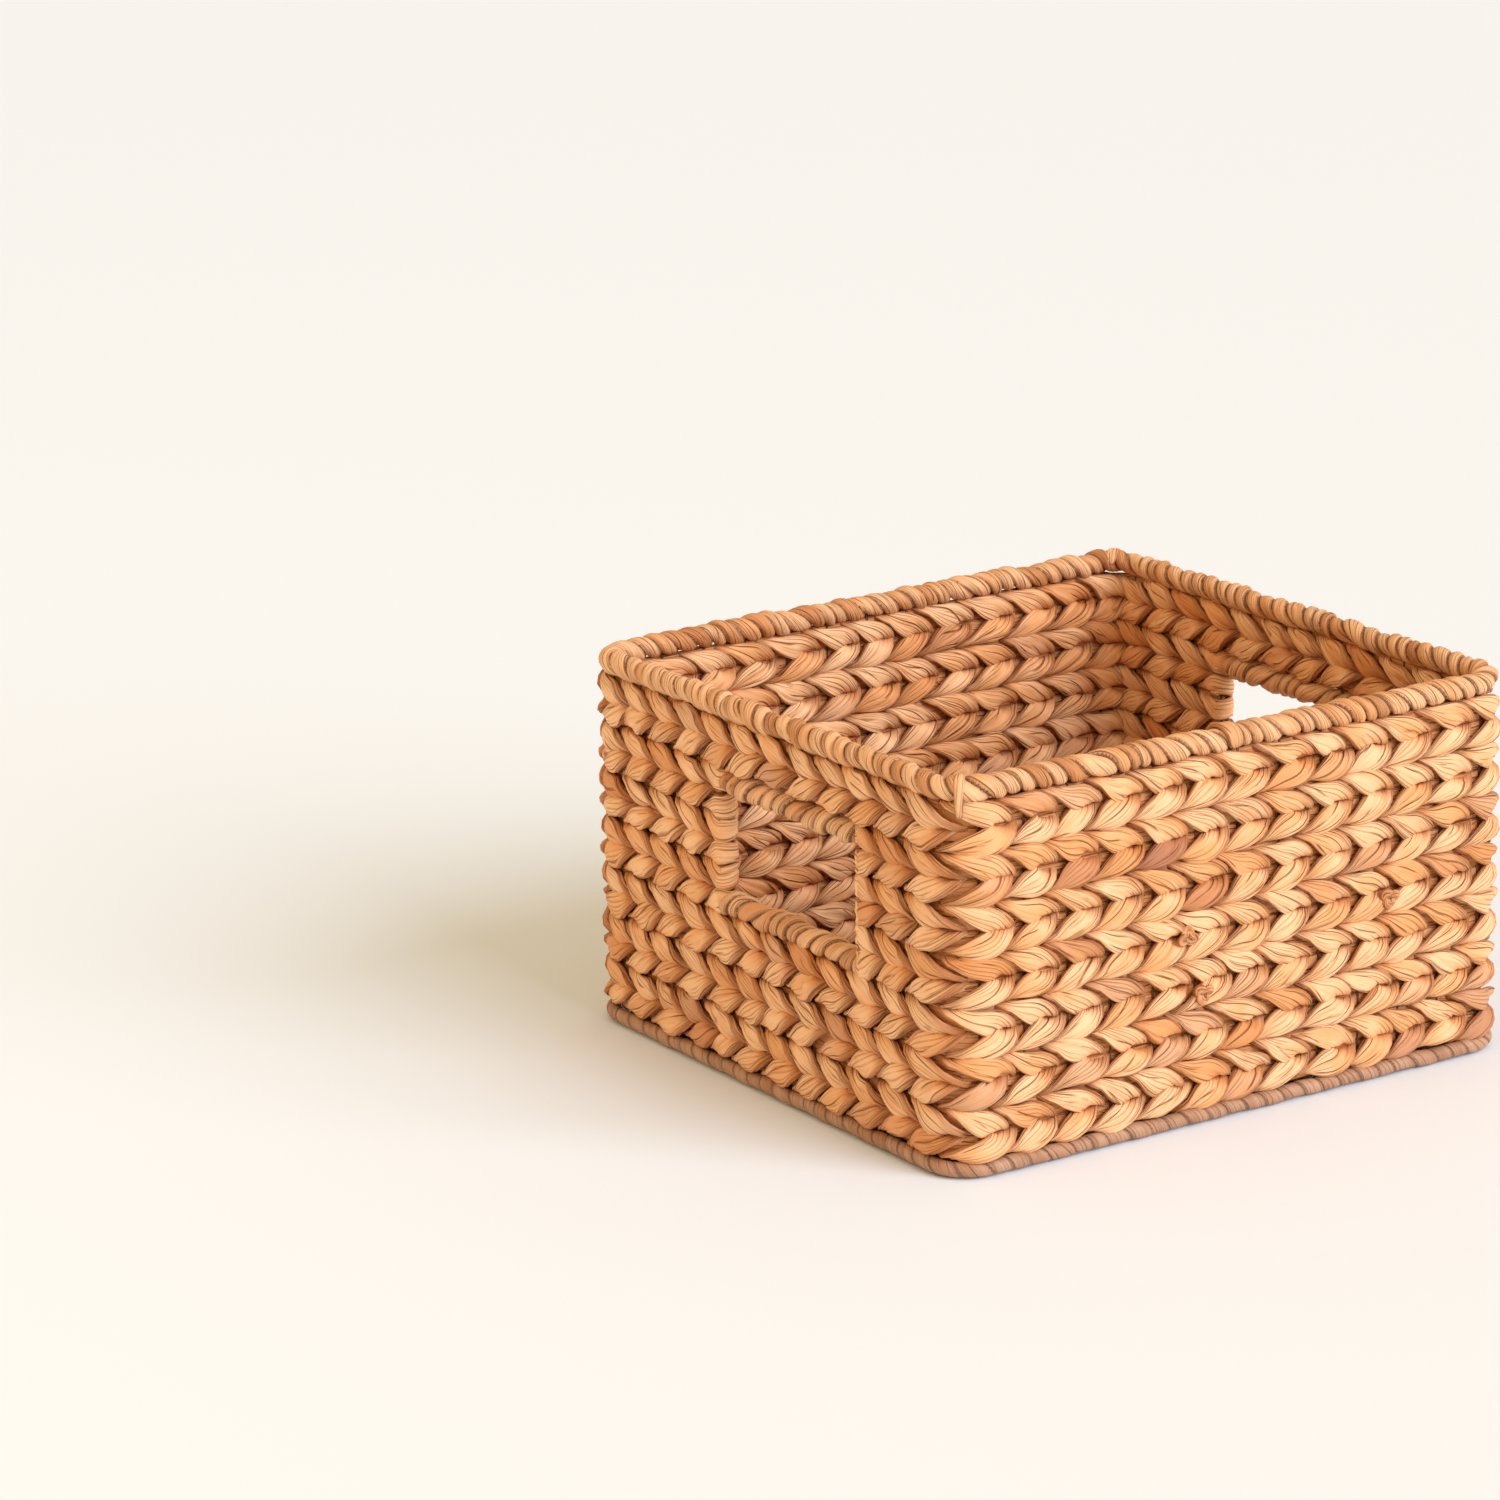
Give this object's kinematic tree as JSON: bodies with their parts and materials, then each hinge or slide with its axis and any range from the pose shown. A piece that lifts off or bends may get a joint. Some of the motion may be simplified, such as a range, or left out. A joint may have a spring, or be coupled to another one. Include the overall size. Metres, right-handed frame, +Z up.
{
  "type": "storage basket",
  "caption": "Open-topped rectangular basket twined from dried plant strands round a wire frame, with a wrapped rim and a hand hole in each short wall.",
  "frame": {"origin": "under the middle of the base, on the surface that the basket rests on", "axes": "+X along the longer walls, +Y from the front long wall to the back one, +Z up to the open top"},
  "size_m": [0.352, 0.33, 0.2],
  "materials": {
    "dried_strand": "dry, fibrous, satin where the strand is smooth",
    "wrapping_strand": "dry, tightly wound, satin",
    "base_strand": "dry, darker and redder than the walls, matte",
    "frame_wire": "brown, dull"
  },
  "bodies": {
    "root": {"base_edge_wrap": "base_strand", "base_ring_wire": "frame_wire", "base_weave_over": "base_strand", "base_weave_under": "base_strand", "cross_stake_01": "frame_wire", "cross_stake_02": "frame_wire", "cross_stake_03": "frame_wire", "cross_stake_04": "frame_wire", "cross_stake_05": "frame_wire", "cross_stake_06": "frame_wire", "cross_stake_07": "frame_wire", "cross_stake_08": "frame_wire", "cross_stake_09": "frame_wire", "cross_stake_10": "frame_wire", "cross_stake_11": "frame_wire", "cross_stake_12": "frame_wire", "cross_stake_13": "frame_wire", "lengthwise_stake_01": "frame_wire", "lengthwise_stake_02": "frame_wire", "lengthwise_stake_03": "frame_wire", "lengthwise_stake_04": "frame_wire", "lengthwise_stake_05": "frame_wire", "lengthwise_stake_06": "frame_wire", "lengthwise_stake_07": "frame_wire", "lengthwise_stake_08": "frame_wire", "lengthwise_stake_09": "frame_wire", "lengthwise_stake_10": "frame_wire", "lengthwise_stake_11": "frame_wire", "lengthwise_stake_12": "frame_wire", "lower_bar_wire_left": "frame_wire", "lower_bar_wire_right": "frame_wire", "lower_bar_wrap_left": "wrapping_strand", "lower_bar_wrap_right": "wrapping_strand", "rim_ring_wire": "frame_wire", "rim_wrap": "wrapping_strand", "twined_row_01": "dried_strand", "twined_row_02": "dried_strand", "twined_row_03": "dried_strand", "twined_row_04": "dried_strand", "twined_row_05": "dried_strand", "twined_row_06": "dried_strand", "twined_row_07_back": "dried_strand", "twined_row_07_front": "dried_strand", "twined_row_08_back": "dried_strand", "twined_row_08_front": "dried_strand", "twined_row_09_back": "dried_strand", "twined_row_09_front": "dried_strand", "twined_row_10_back": "dried_strand", "twined_row_10_front": "dried_strand", "twined_row_11_back": "dried_strand", "twined_row_11_front": "dried_strand", "twined_row_12_back": "dried_strand", "twined_row_12_front": "dried_strand", "twined_row_13": "dried_strand", "twined_row_14": "dried_strand", "upper_bar_wire_left": "frame_wire", "upper_bar_wire_right": "frame_wire", "upper_bar_wrap_left": "wrapping_strand", "upper_bar_wrap_right": "wrapping_strand"}
  },
  "joints": []
}
